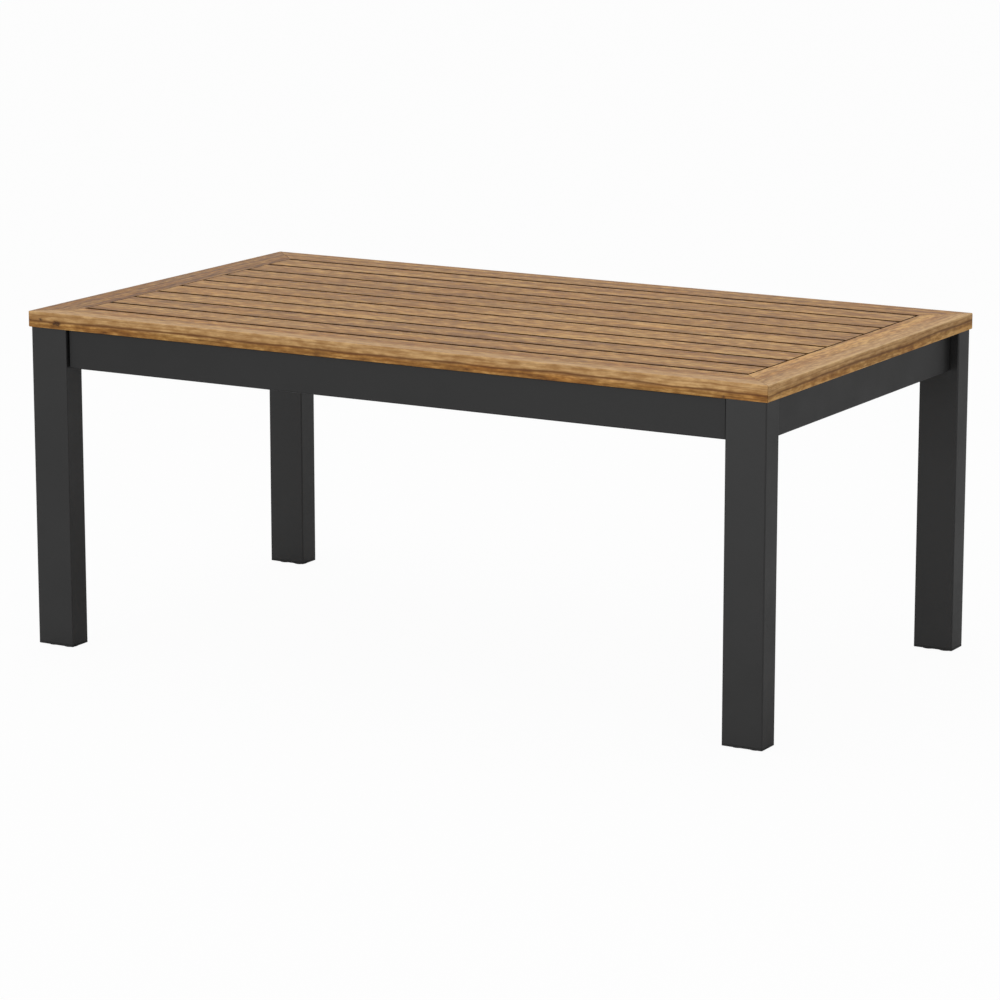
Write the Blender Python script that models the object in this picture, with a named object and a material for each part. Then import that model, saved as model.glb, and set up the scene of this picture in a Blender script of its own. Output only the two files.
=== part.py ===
"""Slatted hardwood coffee table on an aluminium tube base, at real size.

Metres, +Z up. The origin is on the floor under the middle of the table, +X runs along
the table's length and +Y to its back. The top is a mitred frame of four boards with
slats tongued into its end boards. It stands on four legs, four aprons and four folded
corner brackets that bolt them together. Nothing on it moves.
"""

import bmesh
import bpy
from math import cos, pi, sin, sqrt
from mathutils import Matrix

# Overall size
LENGTH = 1.100
WIDTH = 0.615
HEIGHT = 0.460

# Wooden top
TOP_THICKNESS = 0.0215
BOARD_WIDTH = 0.0535
SLAT_COUNT = 9
SLAT_GAP = 0.007
END_GAP_LEFT = 0.0008
END_GAP_RIGHT = 0.0022
ARRIS = 0.001
INNER_ARRIS = 0.0004
MITRE_GAP = 0.0003
TONGUE_LENGTH = 0.010
TONGUE_THICKNESS = 0.008
TONGUE_SHOULDER = 0.004
SPLINE_LENGTH = 0.040
SPLINE_WIDTH = 0.022
SPLINE_THICKNESS = 0.004
BATTEN_COUNT = 3
BATTEN_PITCH = 0.340
BATTEN_WIDTH = 0.045
BATTEN_THICKNESS = 0.018
BATTEN_END_GAP = 0.002

# Aluminium base
LEG_ALONG = 0.056
LEG_ACROSS = 0.035
LEG_WALL = 0.002
LEG_INSET = 0.0025
TUBE_RADIUS = 0.0016
APRON_HEIGHT = 0.052
APRON_THICKNESS = 0.020
APRON_WALL = 0.0018
APRON_END_GAP = 0.0025
LONG_APRON_RECESS = 0.005
SHORT_APRON_RECESS = 0.012

# Corner brackets and their bolts
PLATE = 0.003
BRACKET_HEIGHT = 0.044
BRACKET_ARM = 0.060
BRACKET_FLANGE = 0.018
SCREW_HOLE_RADIUS = 0.0026
BOLT_RADIUS = 0.003
BOLT_HEAD_RADIUS = 0.0055
BOLT_HEAD_HEIGHT = 0.0032
BOLT_GRIP = 0.008
BOLT_SPACING = 0.024
LEG_BOLT_SPACING = 0.020
BOLT_SIDES = 12

# Foot caps
CAP_FLANGE = 0.0025
CAP_PLUG_HEIGHT = 0.018
CAP_WALL = 0.002
PAD_RADIUS = 0.0095
PAD_HEIGHT = 0.003
PAD_SPACING = 0.0245
PAD_SIDES = 24

# Clearances
REST_GAP = 0.0003
GROOVE_CLEARANCE = 0.0004
PLUG_CLEARANCE = 0.0003
BOLT_CLEARANCE = 0.0004

# Places worked out from the sizes
TOP_UNDERSIDE = HEIGHT - TOP_THICKNESS
BASE_TOP = TOP_UNDERSIDE - REST_GAP
FIELD_LENGTH = LENGTH - 2 * BOARD_WIDTH
FIELD_WIDTH = WIDTH - 2 * BOARD_WIDTH
SLAT_WIDTH = (FIELD_WIDTH - (SLAT_COUNT + 1) * SLAT_GAP) / SLAT_COUNT
SLAT_PITCH = SLAT_WIDTH + SLAT_GAP
MIDDLE_OF_TOP = HEIGHT - TOP_THICKNESS / 2
LEG_X = LENGTH / 2 - LEG_INSET - LEG_ALONG / 2
LEG_Y = WIDTH / 2 - LEG_INSET - LEG_ACROSS / 2
LEG_INNER_X = LEG_X - LEG_ALONG / 2
LEG_INNER_Y = LEG_Y - LEG_ACROSS / 2
LONG_APRON_Y = WIDTH / 2 - LEG_INSET - LONG_APRON_RECESS - APRON_THICKNESS / 2
SHORT_APRON_X = LENGTH / 2 - LEG_INSET - SHORT_APRON_RECESS - APRON_THICKNESS / 2
APRON_INNER_Y = LONG_APRON_Y - APRON_THICKNESS / 2
APRON_INNER_X = SHORT_APRON_X - APRON_THICKNESS / 2
APRON_Z = BASE_TOP - APRON_HEIGHT / 2
ARM_START_X = LEG_INNER_X - APRON_END_GAP - BRACKET_ARM
ARM_START_Y = LEG_INNER_Y - APRON_END_GAP - BRACKET_ARM
LEG_BOLT_X = (LEG_INNER_X + APRON_INNER_X) / 2 - PLATE / 2
LEG_BOLT_Z = BASE_TOP - BRACKET_HEIGHT / 2 - PLATE / 2
CORNERS = {
    "front_left": (-1, -1),
    "front_right": (1, -1),
    "back_right": (1, 1),
    "back_left": (-1, 1),
}


def clear_scene():
    for obj in list(bpy.data.objects):
        bpy.data.objects.remove(obj)


def make_material(name, colour, roughness, metallic=0.0):
    material = bpy.data.materials.new(name)
    material.use_nodes = True
    shader = material.node_tree.nodes["Principled BSDF"]
    shader.inputs["Base Color"].default_value = (*colour, 1)
    shader.inputs["Roughness"].default_value = roughness
    shader.inputs["Metallic"].default_value = metallic
    return material


def add_object(name, shape, material=None):
    """Turn a bmesh into a named object with its faces pointing out."""
    bmesh.ops.recalc_face_normals(shape, faces=shape.faces)
    mesh = bpy.data.meshes.new(name)
    shape.to_mesh(mesh)
    shape.free()
    obj = bpy.data.objects.new(name, mesh)
    bpy.context.scene.collection.objects.link(obj)
    if material:
        mesh.materials.append(material)
    return obj


def add_prism(shape, outline, low, high):
    """Add a closed upright prism on a plan outline of (x, y) points."""
    bottom = [shape.verts.new((x, y, low)) for x, y in outline]
    top = [shape.verts.new((x, y, high)) for x, y in outline]
    shape.faces.new(bottom)
    shape.faces.new(top)
    for i in range(len(outline)):
        j = (i + 1) % len(outline)
        shape.faces.new((bottom[i], bottom[j], top[j], top[i]))


def add_box(shape, low, high):
    (x0, y0, z0), (x1, y1, z1) = low, high
    add_prism(shape, [(x0, y0), (x1, y0), (x1, y1), (x0, y1)], z0, z1)


def add_cylinder(shape, radius, start, length, direction, sides):
    """Add a closed cylinder from a start point along the axis X, Y or Z."""
    turn = {"X": Matrix.Rotation(pi / 2, 4, "Y"), "Z": Matrix.Identity(4)}
    turn["Y"] = Matrix.Rotation(-pi / 2, 4, "X")
    place = Matrix.Translation(start) @ turn[direction]
    place = place @ Matrix.Translation((0, 0, length / 2))
    bmesh.ops.create_cone(
        shape,
        cap_ends=True,
        segments=sides,
        radius1=radius,
        radius2=radius,
        depth=abs(length),
        matrix=place,
    )


def rounded_rectangle(along, across, radius, steps=2):
    """Plan outline of a rectangle with round corners, counted anticlockwise."""
    points = []
    for quarter, (sx, sy) in enumerate(((1, 1), (-1, 1), (-1, -1), (1, -1))):
        for step in range(steps + 1):
            angle = pi / 2 * (quarter + step / steps)
            x = sx * (along / 2 - radius) + radius * cos(angle)
            y = sy * (across / 2 - radius) + radius * sin(angle)
            points.append((x, y))
    return points


def add_tube(shape, along, across, wall, radius, low, high):
    """Add an upright rectangular tube that is open at both ends."""
    outer = rounded_rectangle(along, across, radius)
    inner = rounded_rectangle(along - 2 * wall, across - 2 * wall, radius / 2)
    rings = [
        [shape.verts.new((x, y, z)) for x, y in outline]
        for outline, z in ((outer, low), (outer, high), (inner, high), (inner, low))
    ]
    for ring, following in zip(rings, rings[1:] + rings[:1]):
        for i in range(len(ring)):
            j = (i + 1) % len(ring)
            shape.faces.new((ring[i], ring[j], following[j], following[i]))


def hide_helper(obj):
    obj.hide_render = True
    obj.display_type = "WIRE"
    return obj


def combine(obj, helper, operation):
    """Cut a helper out of an object, or join it on."""
    modifier = obj.modifiers.new(helper.name, "BOOLEAN")
    modifier.operation = operation
    modifier.solver = "EXACT"
    modifier.object = hide_helper(helper)


def soften(obj, width):
    """Round the sharp edges, as sanding does."""
    modifier = obj.modifiers.new("arris", "BEVEL")
    modifier.width = width
    modifier.segments = 2
    modifier.limit_method = "ANGLE"
    modifier.use_clamp_overlap = True
    return modifier


def smooth(obj):
    obj.data.shade_smooth()
    obj.data.set_sharp_from_angle(angle=pi / 6)


# ---- The wooden top


def mitre_spline(name, corner, clearance, material=None):
    """A loose tongue that lies across a mitre, or with a clearance the slot for it."""
    half_length = SPLINE_LENGTH / 2 + clearance
    half_width = SPLINE_WIDTH / 2 + clearance
    half_thickness = SPLINE_THICKNESS / 2 + clearance
    shape = bmesh.new()
    add_box(
        shape,
        (-half_length, -half_width, -half_thickness),
        (half_length, half_width, half_thickness),
    )
    sx, sy = corner
    spline = add_object(name, shape, material)
    spline.location = (
        sx * (LENGTH - BOARD_WIDTH) / 2,
        sy * (WIDTH - BOARD_WIDTH) / 2,
        MIDDLE_OF_TOP,
    )
    spline.rotation_euler.z = sx * sy * pi / 4
    return spline


def board_outline(half_length, half_width):
    """Plan of the back or right board: outer edge, then the two mitres."""
    trim = MITRE_GAP / sqrt(2)
    outer = half_length - trim
    inner = half_length - BOARD_WIDTH - trim
    return [
        (-outer, half_width),
        (-inner, half_width - BOARD_WIDTH),
        (inner, half_width - BOARD_WIDTH),
        (outer, half_width),
    ]


def frame_board(name, outline, material):
    """A board with its long edges rounded, the outer ones more, and its mitres crisp."""
    shape = bmesh.new()
    add_prism(shape, outline, TOP_UNDERSIDE, HEIGHT)
    weight = shape.edges.layers.float.new("bevel_weight_edge")
    corners = list(shape.verts)
    for ring in (corners[:4], corners[4:]):
        shape.edges.get((ring[3], ring[0]))[weight] = 1.0
        shape.edges.get((ring[1], ring[2]))[weight] = INNER_ARRIS / ARRIS
    board = add_object(name, shape, material)
    soften(board, ARRIS).limit_method = "WEIGHT"
    return board


def long_board(name, sy, material):
    outline = [(x, sy * y) for x, y in board_outline(LENGTH / 2, WIDTH / 2)]
    return frame_board(name, outline, material)


def end_board(name, sx, material):
    """An end board is grooved along its inner edge for the slats' tongues."""
    outline = [(sx * y, x) for x, y in board_outline(WIDTH / 2, LENGTH / 2)]
    board = frame_board(name, outline, material)
    half_thickness = TONGUE_THICKNESS / 2 + GROOVE_CLEARANCE
    half_length = FIELD_WIDTH / 2 - SLAT_GAP
    edge = FIELD_LENGTH / 2
    depth = TONGUE_LENGTH + GROOVE_CLEARANCE
    ends = sorted((sx * (edge - depth), sx * (edge + depth)))
    shape = bmesh.new()
    add_box(
        shape,
        (ends[0], -half_length, MIDDLE_OF_TOP - half_thickness),
        (ends[1], half_length, MIDDLE_OF_TOP + half_thickness),
    )
    combine(board, add_object(name + "_groove", shape), "DIFFERENCE")
    return board


def slat(number, material):
    """Slats are counted from the front. A tongue runs out at each end."""
    name = f"slat_{number + 1}"
    y = (number - (SLAT_COUNT - 1) / 2) * SLAT_PITCH
    left = -FIELD_LENGTH / 2 + END_GAP_LEFT
    right = FIELD_LENGTH / 2 - END_GAP_RIGHT
    half_width = SLAT_WIDTH / 2
    shape = bmesh.new()
    add_box(shape, (left, y - half_width, TOP_UNDERSIDE), (right, y + half_width, HEIGHT))
    body = add_object(name, shape, material)
    soften(body, INNER_ARRIS)
    half_tongue = half_width - TONGUE_SHOULDER
    reach = FIELD_LENGTH / 2 + TONGUE_LENGTH
    shape = bmesh.new()
    add_box(
        shape,
        (-reach, y - half_tongue, MIDDLE_OF_TOP - TONGUE_THICKNESS / 2),
        (reach, y + half_tongue, MIDDLE_OF_TOP + TONGUE_THICKNESS / 2),
    )
    combine(body, add_object(name + "_tongue", shape), "UNION")
    return body


def batten(number, material):
    x = (number - (BATTEN_COUNT - 1) / 2) * BATTEN_PITCH
    half_length = APRON_INNER_Y - BATTEN_END_GAP
    shape = bmesh.new()
    add_box(
        shape,
        (x - BATTEN_WIDTH / 2, -half_length, BASE_TOP - BATTEN_THICKNESS),
        (x + BATTEN_WIDTH / 2, half_length, BASE_TOP),
    )
    soften(add_object(f"batten_{number + 1}", shape, material), ARRIS)


def build_top():
    wood = make_material("oiled_hardwood", (0.38, 0.22, 0.11), 0.6)
    pale = make_material("plain_hardwood", (0.34, 0.21, 0.12), 0.7)
    boards = [
        long_board("board_front", -1, wood),
        end_board("board_right", 1, wood),
        long_board("board_back", 1, wood),
        end_board("board_left", -1, wood),
    ]
    beside = {"front_left": (3, 0), "front_right": (0, 1), "back_right": (1, 2)}
    beside["back_left"] = (2, 3)
    for place, corner in CORNERS.items():
        mitre_spline(f"mitre_spline_{place}", corner, 0, pale)
        for index in beside[place]:
            slot_name = f"{boards[index].name}_{place}_slot"
            slot = mitre_spline(slot_name, corner, GROOVE_CLEARANCE)
            combine(boards[index], slot, "DIFFERENCE")
    for number in range(SLAT_COUNT):
        slat(number, wood)
    for number in range(BATTEN_COUNT):
        batten(number, pale)


# ---- The base


def bolt_places(corner):
    """Where the bolts of one corner go: the plate's inner face, the axis and its sign."""
    sx, sy = corner
    on_long = APRON_INNER_Y - REST_GAP - PLATE
    on_short = APRON_INNER_X - REST_GAP - PLATE
    on_leg = LEG_INNER_Y - REST_GAP - PLATE
    middle_x = ARM_START_X + BRACKET_ARM / 2
    middle_y = ARM_START_Y + BRACKET_ARM / 2
    places = {}
    for number, side in enumerate((-1, 1)):
        shift = side * BOLT_SPACING / 2
        places[f"long_{number + 1}"] = (sx * (middle_x + shift), sy * on_long, APRON_Z, "Y", sy)
        places[f"short_{number + 1}"] = (sx * on_short, sy * (middle_y + shift), APRON_Z, "X", sx)
        z = LEG_BOLT_Z + side * LEG_BOLT_SPACING / 2
        places[f"leg_{number + 1}"] = (sx * LEG_BOLT_X, sy * on_leg, z, "Y", sy)
    return places


def bolt_holes(name, places):
    """Cutters for clearance holes on the bolts' axes."""
    shape = bmesh.new()
    reach = PLATE + REST_GAP + max(LEG_WALL, APRON_WALL) + BOLT_GRIP
    for x, y, z, axis, sign in places:
        start = [x, y, z]
        start["XYZ".index(axis)] -= sign * PLATE
        length = sign * (reach + PLATE)
        add_cylinder(shape, BOLT_RADIUS + BOLT_CLEARANCE, start, length, axis, BOLT_SIDES)
    return add_object(name, shape)


def bolt(name, place, material):
    """Pan-head bolt, turned about its axis: shank into the tube, head on the bracket."""
    x, y, z, axis, sign = place
    reach = PLATE + REST_GAP + max(LEG_WALL, APRON_WALL) + BOLT_GRIP
    crown = BOLT_HEAD_HEIGHT / 3
    profile = (
        (0, reach),
        (BOLT_RADIUS, reach),
        (BOLT_RADIUS, -REST_GAP),
        (BOLT_HEAD_RADIUS, -REST_GAP),
        (BOLT_HEAD_RADIUS, crown - BOLT_HEAD_HEIGHT),
        (BOLT_HEAD_RADIUS - crown, -BOLT_HEAD_HEIGHT),
        (0, -BOLT_HEAD_HEIGHT),
    )
    shape = bmesh.new()
    verts = [shape.verts.new((r, 0, height)) for r, height in profile]
    edges = [shape.edges.new(pair) for pair in zip(verts, verts[1:])]
    bmesh.ops.spin(
        shape,
        geom=verts + edges,
        axis=(0, 0, 1),
        cent=(0, 0, 0),
        angle=2 * pi,
        steps=BOLT_SIDES,
    )
    bmesh.ops.remove_doubles(shape, verts=shape.verts, dist=1e-6)
    obj = add_object(name, shape, material)
    obj.location = (x, y, z)
    if axis == "X":
        obj.rotation_euler.y = sign * pi / 2
    else:
        obj.rotation_euler.x = -sign * pi / 2
    smooth(obj)


def leg(name, corner, places, material):
    shape = bmesh.new()
    low = PAD_HEIGHT + CAP_FLANGE + REST_GAP
    add_tube(shape, LEG_ALONG, LEG_ACROSS, LEG_WALL, TUBE_RADIUS, low, BASE_TOP)
    sx, sy = corner
    bmesh.ops.translate(shape, verts=shape.verts, vec=(sx * LEG_X, sy * LEG_Y, 0))
    obj = add_object(name, shape, material)
    holes = [place for key, place in places.items() if key.startswith("leg")]
    combine(obj, bolt_holes(name + "_holes", holes), "DIFFERENCE")
    smooth(obj)


def apron(name, length, centre, turn, holes, material):
    """A rectangular tube laid on its side between two legs, drilled for the brackets."""
    shape = bmesh.new()
    add_tube(
        shape, APRON_HEIGHT, APRON_THICKNESS, APRON_WALL, TUBE_RADIUS, -length / 2, length / 2
    )
    lay = Matrix.Rotation(turn, 4, "Z") @ Matrix.Rotation(pi / 2, 4, "Y")
    bmesh.ops.transform(shape, matrix=Matrix.Translation(centre) @ lay, verts=shape.verts)
    obj = add_object(name, shape, material)
    combine(obj, bolt_holes(name + "_holes", holes), "DIFFERENCE")
    smooth(obj)


def corner_bracket(name, corner, places, material):
    """Folded plate that follows the apron, the leg's inner corner and the other apron."""
    sx, sy = corner
    x1, x2 = LEG_INNER_X - REST_GAP, APRON_INNER_X - REST_GAP
    y1, y2 = APRON_INNER_Y - REST_GAP, LEG_INNER_Y - REST_GAP
    outline = [
        (ARM_START_X, y1),
        (x1, y1),
        (x1, y2),
        (x2, y2),
        (x2, ARM_START_Y),
        (x2 - PLATE, ARM_START_Y),
        (x2 - PLATE, y2 - PLATE),
        (x1 - PLATE, y2 - PLATE),
        (x1 - PLATE, y1 - PLATE),
        (ARM_START_X, y1 - PLATE),
    ]
    shape = bmesh.new()
    low = BASE_TOP - BRACKET_HEIGHT
    add_prism(shape, [(sx * x, sy * y) for x, y in outline], low, BASE_TOP)
    bracket = add_object(name, shape, material)
    flange_ends = LEG_INNER_X - APRON_END_GAP, LEG_INNER_Y - APRON_END_GAP
    flanges = (
        ((ARM_START_X, y1 - BRACKET_FLANGE), (flange_ends[0], y1 - PLATE / 2)),
        ((x2 - BRACKET_FLANGE, ARM_START_Y), (x2 - PLATE / 2, flange_ends[1])),
    )
    holes = bmesh.new()
    for number, ((ax, ay), (bx, by)) in enumerate(flanges):
        shape = bmesh.new()
        outline = [(sx * x, sy * y) for x, y in ((ax, ay), (bx, ay), (bx, by), (ax, by))]
        add_prism(shape, outline, BASE_TOP - PLATE, BASE_TOP)
        combine(bracket, add_object(f"{name}_flange_{number + 1}", shape), "UNION")
        middle = (sx * (ax + bx) / 2, sy * (ay + by) / 2, BASE_TOP - 2 * PLATE)
        add_cylinder(holes, SCREW_HOLE_RADIUS, middle, 3 * PLATE, "Z", BOLT_SIDES)
    combine(bracket, add_object(name + "_screw_holes", holes), "DIFFERENCE")
    combine(bracket, bolt_holes(name + "_bolt_holes", list(places.values())), "DIFFERENCE")


def foot_cap(name, corner, material):
    """Moulded cap: a flange as large as the leg, a plug inside it and two round pads."""
    sx, sy = corner
    place = (sx * LEG_X, sy * LEG_Y, 0)
    flange_top = PAD_HEIGHT + CAP_FLANGE
    overlap = CAP_FLANGE / 2
    shape = bmesh.new()
    add_prism(
        shape, rounded_rectangle(LEG_ALONG, LEG_ACROSS, TUBE_RADIUS), PAD_HEIGHT, flange_top
    )
    cap = add_object(name, shape, material)
    cap.location = place
    inside = 2 * (LEG_WALL + PLUG_CLEARANCE)
    plug = bmesh.new()
    add_tube(
        plug,
        LEG_ALONG - inside,
        LEG_ACROSS - inside,
        CAP_WALL,
        TUBE_RADIUS,
        flange_top - overlap,
        flange_top + CAP_PLUG_HEIGHT,
    )
    pads = bmesh.new()
    for side in (-1, 1):
        start = (side * PAD_SPACING / 2, 0, 0)
        add_cylinder(pads, PAD_RADIUS, start, PAD_HEIGHT + overlap, "Z", PAD_SIDES)
    for ending, helper in (("_plug", plug), ("_pads", pads)):
        helper = add_object(name + ending, helper)
        helper.location = place
        combine(cap, helper, "UNION")
    smooth(cap)


def build_base():
    powder_coat = make_material("powder_coated_aluminium", (0.035, 0.035, 0.036), 0.45)
    steel = make_material("zinc_plated_steel", (0.6, 0.6, 0.58), 0.35, 1.0)
    plastic = make_material("moulded_polypropylene", (0.012, 0.012, 0.012), 0.5)
    places = {name: bolt_places(corner) for name, corner in CORNERS.items()}
    for name, corner in CORNERS.items():
        leg(f"leg_{name}", corner, places[name], powder_coat)
        foot_cap(f"foot_cap_{name}", corner, plastic)
        corner_bracket(f"corner_bracket_{name}", corner, places[name], steel)
        for key, place in places[name].items():
            bolt(f"bolt_{name}_{key}", place, steel)
    aprons = (
        ("front", -1, LEG_INNER_X, (0, -LONG_APRON_Y, APRON_Z), 0, "long"),
        ("back", 1, LEG_INNER_X, (0, LONG_APRON_Y, APRON_Z), 0, "long"),
        ("left", -1, LEG_INNER_Y, (-SHORT_APRON_X, 0, APRON_Z), pi / 2, "short"),
        ("right", 1, LEG_INNER_Y, (SHORT_APRON_X, 0, APRON_Z), pi / 2, "short"),
    )
    for side, sign, reach, centre, turn, kind in aprons:
        axis = 1 if kind == "long" else 0
        holes = [
            place
            for corner_name, corner in CORNERS.items()
            for key, place in places[corner_name].items()
            if corner[axis] == sign and key.startswith(kind)
        ]
        length = 2 * (reach - APRON_END_GAP)
        apron(f"apron_{side}", length, centre, turn, holes, powder_coat)


clear_scene()
build_top()
build_base()
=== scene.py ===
# %% [markdown]
# # A slatted coffee table
# A garden coffee table has two halves that are made in different shops. The top is
# hardwood: four boards mitred into a frame, with nine slats between them. The base is
# aluminium tube, powder coated almost black and bolted together at the corners. The
# solid model already holds every size, so this lesson only adds what the eye needs:
# grain, coating, screws, light and a camera. The first step loads that fixed model.

# %% Load the fixed model
import bmesh
import bpy
from math import pi, radians
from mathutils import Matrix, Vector


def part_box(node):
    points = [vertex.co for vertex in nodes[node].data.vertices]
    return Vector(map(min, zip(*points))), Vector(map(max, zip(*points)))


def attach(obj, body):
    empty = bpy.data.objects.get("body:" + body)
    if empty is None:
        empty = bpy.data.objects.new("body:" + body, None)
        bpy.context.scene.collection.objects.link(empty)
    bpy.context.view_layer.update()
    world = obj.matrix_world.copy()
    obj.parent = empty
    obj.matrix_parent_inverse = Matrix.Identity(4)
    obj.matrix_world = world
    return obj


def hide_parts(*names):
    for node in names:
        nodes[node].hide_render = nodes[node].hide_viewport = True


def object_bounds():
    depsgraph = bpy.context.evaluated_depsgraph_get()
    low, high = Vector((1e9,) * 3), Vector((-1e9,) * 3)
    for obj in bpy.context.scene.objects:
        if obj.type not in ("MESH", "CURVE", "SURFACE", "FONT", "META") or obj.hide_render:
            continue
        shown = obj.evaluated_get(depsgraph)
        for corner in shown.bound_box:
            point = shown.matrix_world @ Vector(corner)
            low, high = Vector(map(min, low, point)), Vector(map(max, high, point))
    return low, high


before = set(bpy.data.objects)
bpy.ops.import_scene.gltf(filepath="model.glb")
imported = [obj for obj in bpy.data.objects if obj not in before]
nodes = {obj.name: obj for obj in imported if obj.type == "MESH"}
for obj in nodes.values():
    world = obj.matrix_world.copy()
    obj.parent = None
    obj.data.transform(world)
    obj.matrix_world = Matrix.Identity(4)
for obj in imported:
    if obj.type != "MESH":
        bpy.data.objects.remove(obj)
solid_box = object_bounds()
print(len(nodes), "solids, box", [tuple(round(v, 4) for v in corner) for corner in solid_box])

# %% [markdown]
# Colours are written as hex values, the way a paint chart or a colour picker gives them.
# Those are display values, and a shader wants the amount of light, so one function
# turns each into linear light. A second small function adds a node to any tree. Each
# input takes a plain value, a socket to link, or a whole node, which stands for its
# first live output, so a chain of nodes reads from top to bottom. Inputs go by name or
# by number. A Map Range takes its value as 0, the range that comes in as 1 and 2, and
# the range that goes out as 3 and 4. A Mix takes its share as 0 and two colours as 6, 7.

# %% Colour and node helpers
MM = 0.001
# The kinds of node that come back most often.
MATH = "ShaderNodeMath"
VECTOR = "ShaderNodeVectorMath"
MAP_RANGE = "ShaderNodeMapRange"
MIX = "ShaderNodeMix"


def linear(hex_colour):
    """The linear light of an sRGB hex colour, with alpha 1."""
    channels = [int(hex_colour[i : i + 2], 16) / 255 for i in (1, 3, 5)]
    light = [c / 12.92 if c <= 0.04045 else ((c + 0.055) / 1.055) ** 2.4 for c in channels]
    return (*light, 1.0)


def fill(tree, node, inputs):
    """Set or link each of a node's inputs. A list links several to the same one."""
    for key, given in inputs.items():
        for value in given if isinstance(given, list) else [given]:
            if isinstance(value, bpy.types.Node):
                value = next(socket for socket in value.outputs if socket.enabled)
            if isinstance(value, bpy.types.NodeSocket):
                tree.links.new(value, node.inputs[key])
            else:
                node.inputs[key].default_value = value


def add(tree, kind, inputs=None, **settings):
    """Add a node, apply its settings, then fill its inputs."""
    node = tree.nodes.new(kind)
    for name, value in settings.items():
        setattr(node, name, value)
    fill(tree, node, inputs or {})
    return node


def set_ramp(node, stops):
    """Give a colour ramp its (position, hex colour) stops."""
    elements = node.color_ramp.elements
    while len(elements) < len(stops):
        elements.new(0.5)
    for element, (position, colour) in zip(elements, stops):
        element.position = position
        element.color = linear(colour)


def new_material(name):
    """An empty material, its tree and its Principled shader."""
    material = bpy.data.materials.new(name)
    material.use_nodes = True
    tree = material.node_tree
    return material, tree, tree.nodes["Principled BSDF"]


def coat_solids(start, material):
    """Give one material to every solid whose name starts like this, and name them."""
    names = sorted(name for name in nodes if name.startswith(start))
    for name in names:
        nodes[name].data.materials.clear()
        nodes[name].data.materials.append(material)
    print(material.name, "on", names)
    return names


print("mid brown in linear light:", [round(c, 3) for c in linear("#a67c4e")])

# %% [markdown]
# **Oiled acacia.** The boards are sawn from acacia, planed, sanded and wiped with oil.
# A flat picture of grain would not run round an edge, so the grain is a solid pattern
# in the board's own space, with x along the grain. Every layer of it is noise that is
# drawn out along x: a board shows the same cells long and narrow on its top and side,
# and small and round on its end.

# %% Noise that runs with the grain
def board_coordinates(tree, shift, turn):
    """Place in the board, with x along the grain. Slats and battens add their own shift."""
    place = add(tree, "ShaderNodeTexCoord").outputs["Object"]
    turned = add(
        tree, "ShaderNodeMapping", {"Vector": place, "Location": shift, "Rotation": (0, 0, -turn)}
    )
    own = add(tree, "ShaderNodeAttribute", attribute_name="board_shift").outputs["Vector"]
    return add(tree, VECTOR, {0: turned, 1: own}, operation="ADD")


def stretched_noise(tree, place, length, width, detail=2.0):
    """Noise drawn out along the grain, with cells of this length and width."""
    cells = add(
        tree, "ShaderNodeMapping", {"Vector": place, "Scale": (1 / length, 1 / width, 1 / width)}
    )
    return add(
        tree,
        "ShaderNodeTexNoise",
        {"Vector": cells, "Scale": 1.0, "Detail": detail, "Roughness": 0.55},
    )


# A real fibre is about 0.02 mm wide and a pore 0.2 mm. Both are drawn coarser, in
# bundles, because nothing finer would show on a whole table.
FIBRE_WIDTH = 1.6 * MM
FIBRE_LENGTH = 120 * MM
PORE_WIDTH = 0.5 * MM
PORE_LENGTH = 9 * MM
# Acacia's fibres lean one way and then the other, which gives short bright ribbons.
RIBBON_WIDTH = 5 * MM
RIBBON_LENGTH = 18 * MM
print("ribbons", round(RIBBON_LENGTH / MM), "x", round(RIBBON_WIDTH / MM), "mm")

# %% [markdown]
# **Growth rings.** The board is thought of as cut from a trunk, and its colour bands
# depend on the distance to the trunk's pith. A slow twist of the fibres bends the bands
# into streaks and tall arches, and they stay matched on the top, the edge and the
# underside. The pith lies outside the board, as it does in sound timber.

# %% Rings around the pith
GROWTH_BAND = 11 * MM
FINE_BAND = 3 * MM
TWIST = 9 * MM


def distance_to_pith(tree, place, pith):
    """How far a point lies from the pith, once the fibres' twist is added."""
    twist = stretched_noise(tree, place, 260 * MM, 60 * MM).outputs["Color"]
    centred = add(tree, VECTOR, {0: twist, 1: (0.5, 0.5, 0.5)}, operation="SUBTRACT")
    sideways = (0, 2 * TWIST, 2 * TWIST)
    bent = add(tree, VECTOR, {0: centred, 1: sideways, 2: place}, operation="MULTIPLY_ADD")
    across = add(tree, VECTOR, {0: bent, 1: (0, 1, 1)}, operation="MULTIPLY")
    return add(tree, VECTOR, {0: across, 1: pith}, operation="DISTANCE")


def bands(tree, distance, width):
    """Smooth bands of about this width that depend on the distance to the pith alone."""
    ring = add(tree, MATH, {0: distance, 1: width}, operation="DIVIDE")
    return add(
        tree,
        "ShaderNodeTexNoise",
        {"W": ring, "Scale": 1.0, "Detail": 1.0},
        noise_dimensions="1D",
    )


print("growth bands", round(GROWTH_BAND / MM), "and", round(FINE_BAND / MM), "mm")

# %% [markdown]
# **Heartwood, knots and sapwood** are what tell one board from the next. A heartwood
# streak is a thin dark layer that sways about a height in the board. A knot is a dark
# spot or a ring, squeezed along the grain, with a ragged edge. Sapwood is the pale
# young wood just under the bark, and it stays on one long corner of a board that was
# cut near the outside of the trunk. Each function gives a share from 0 to 1.

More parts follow.
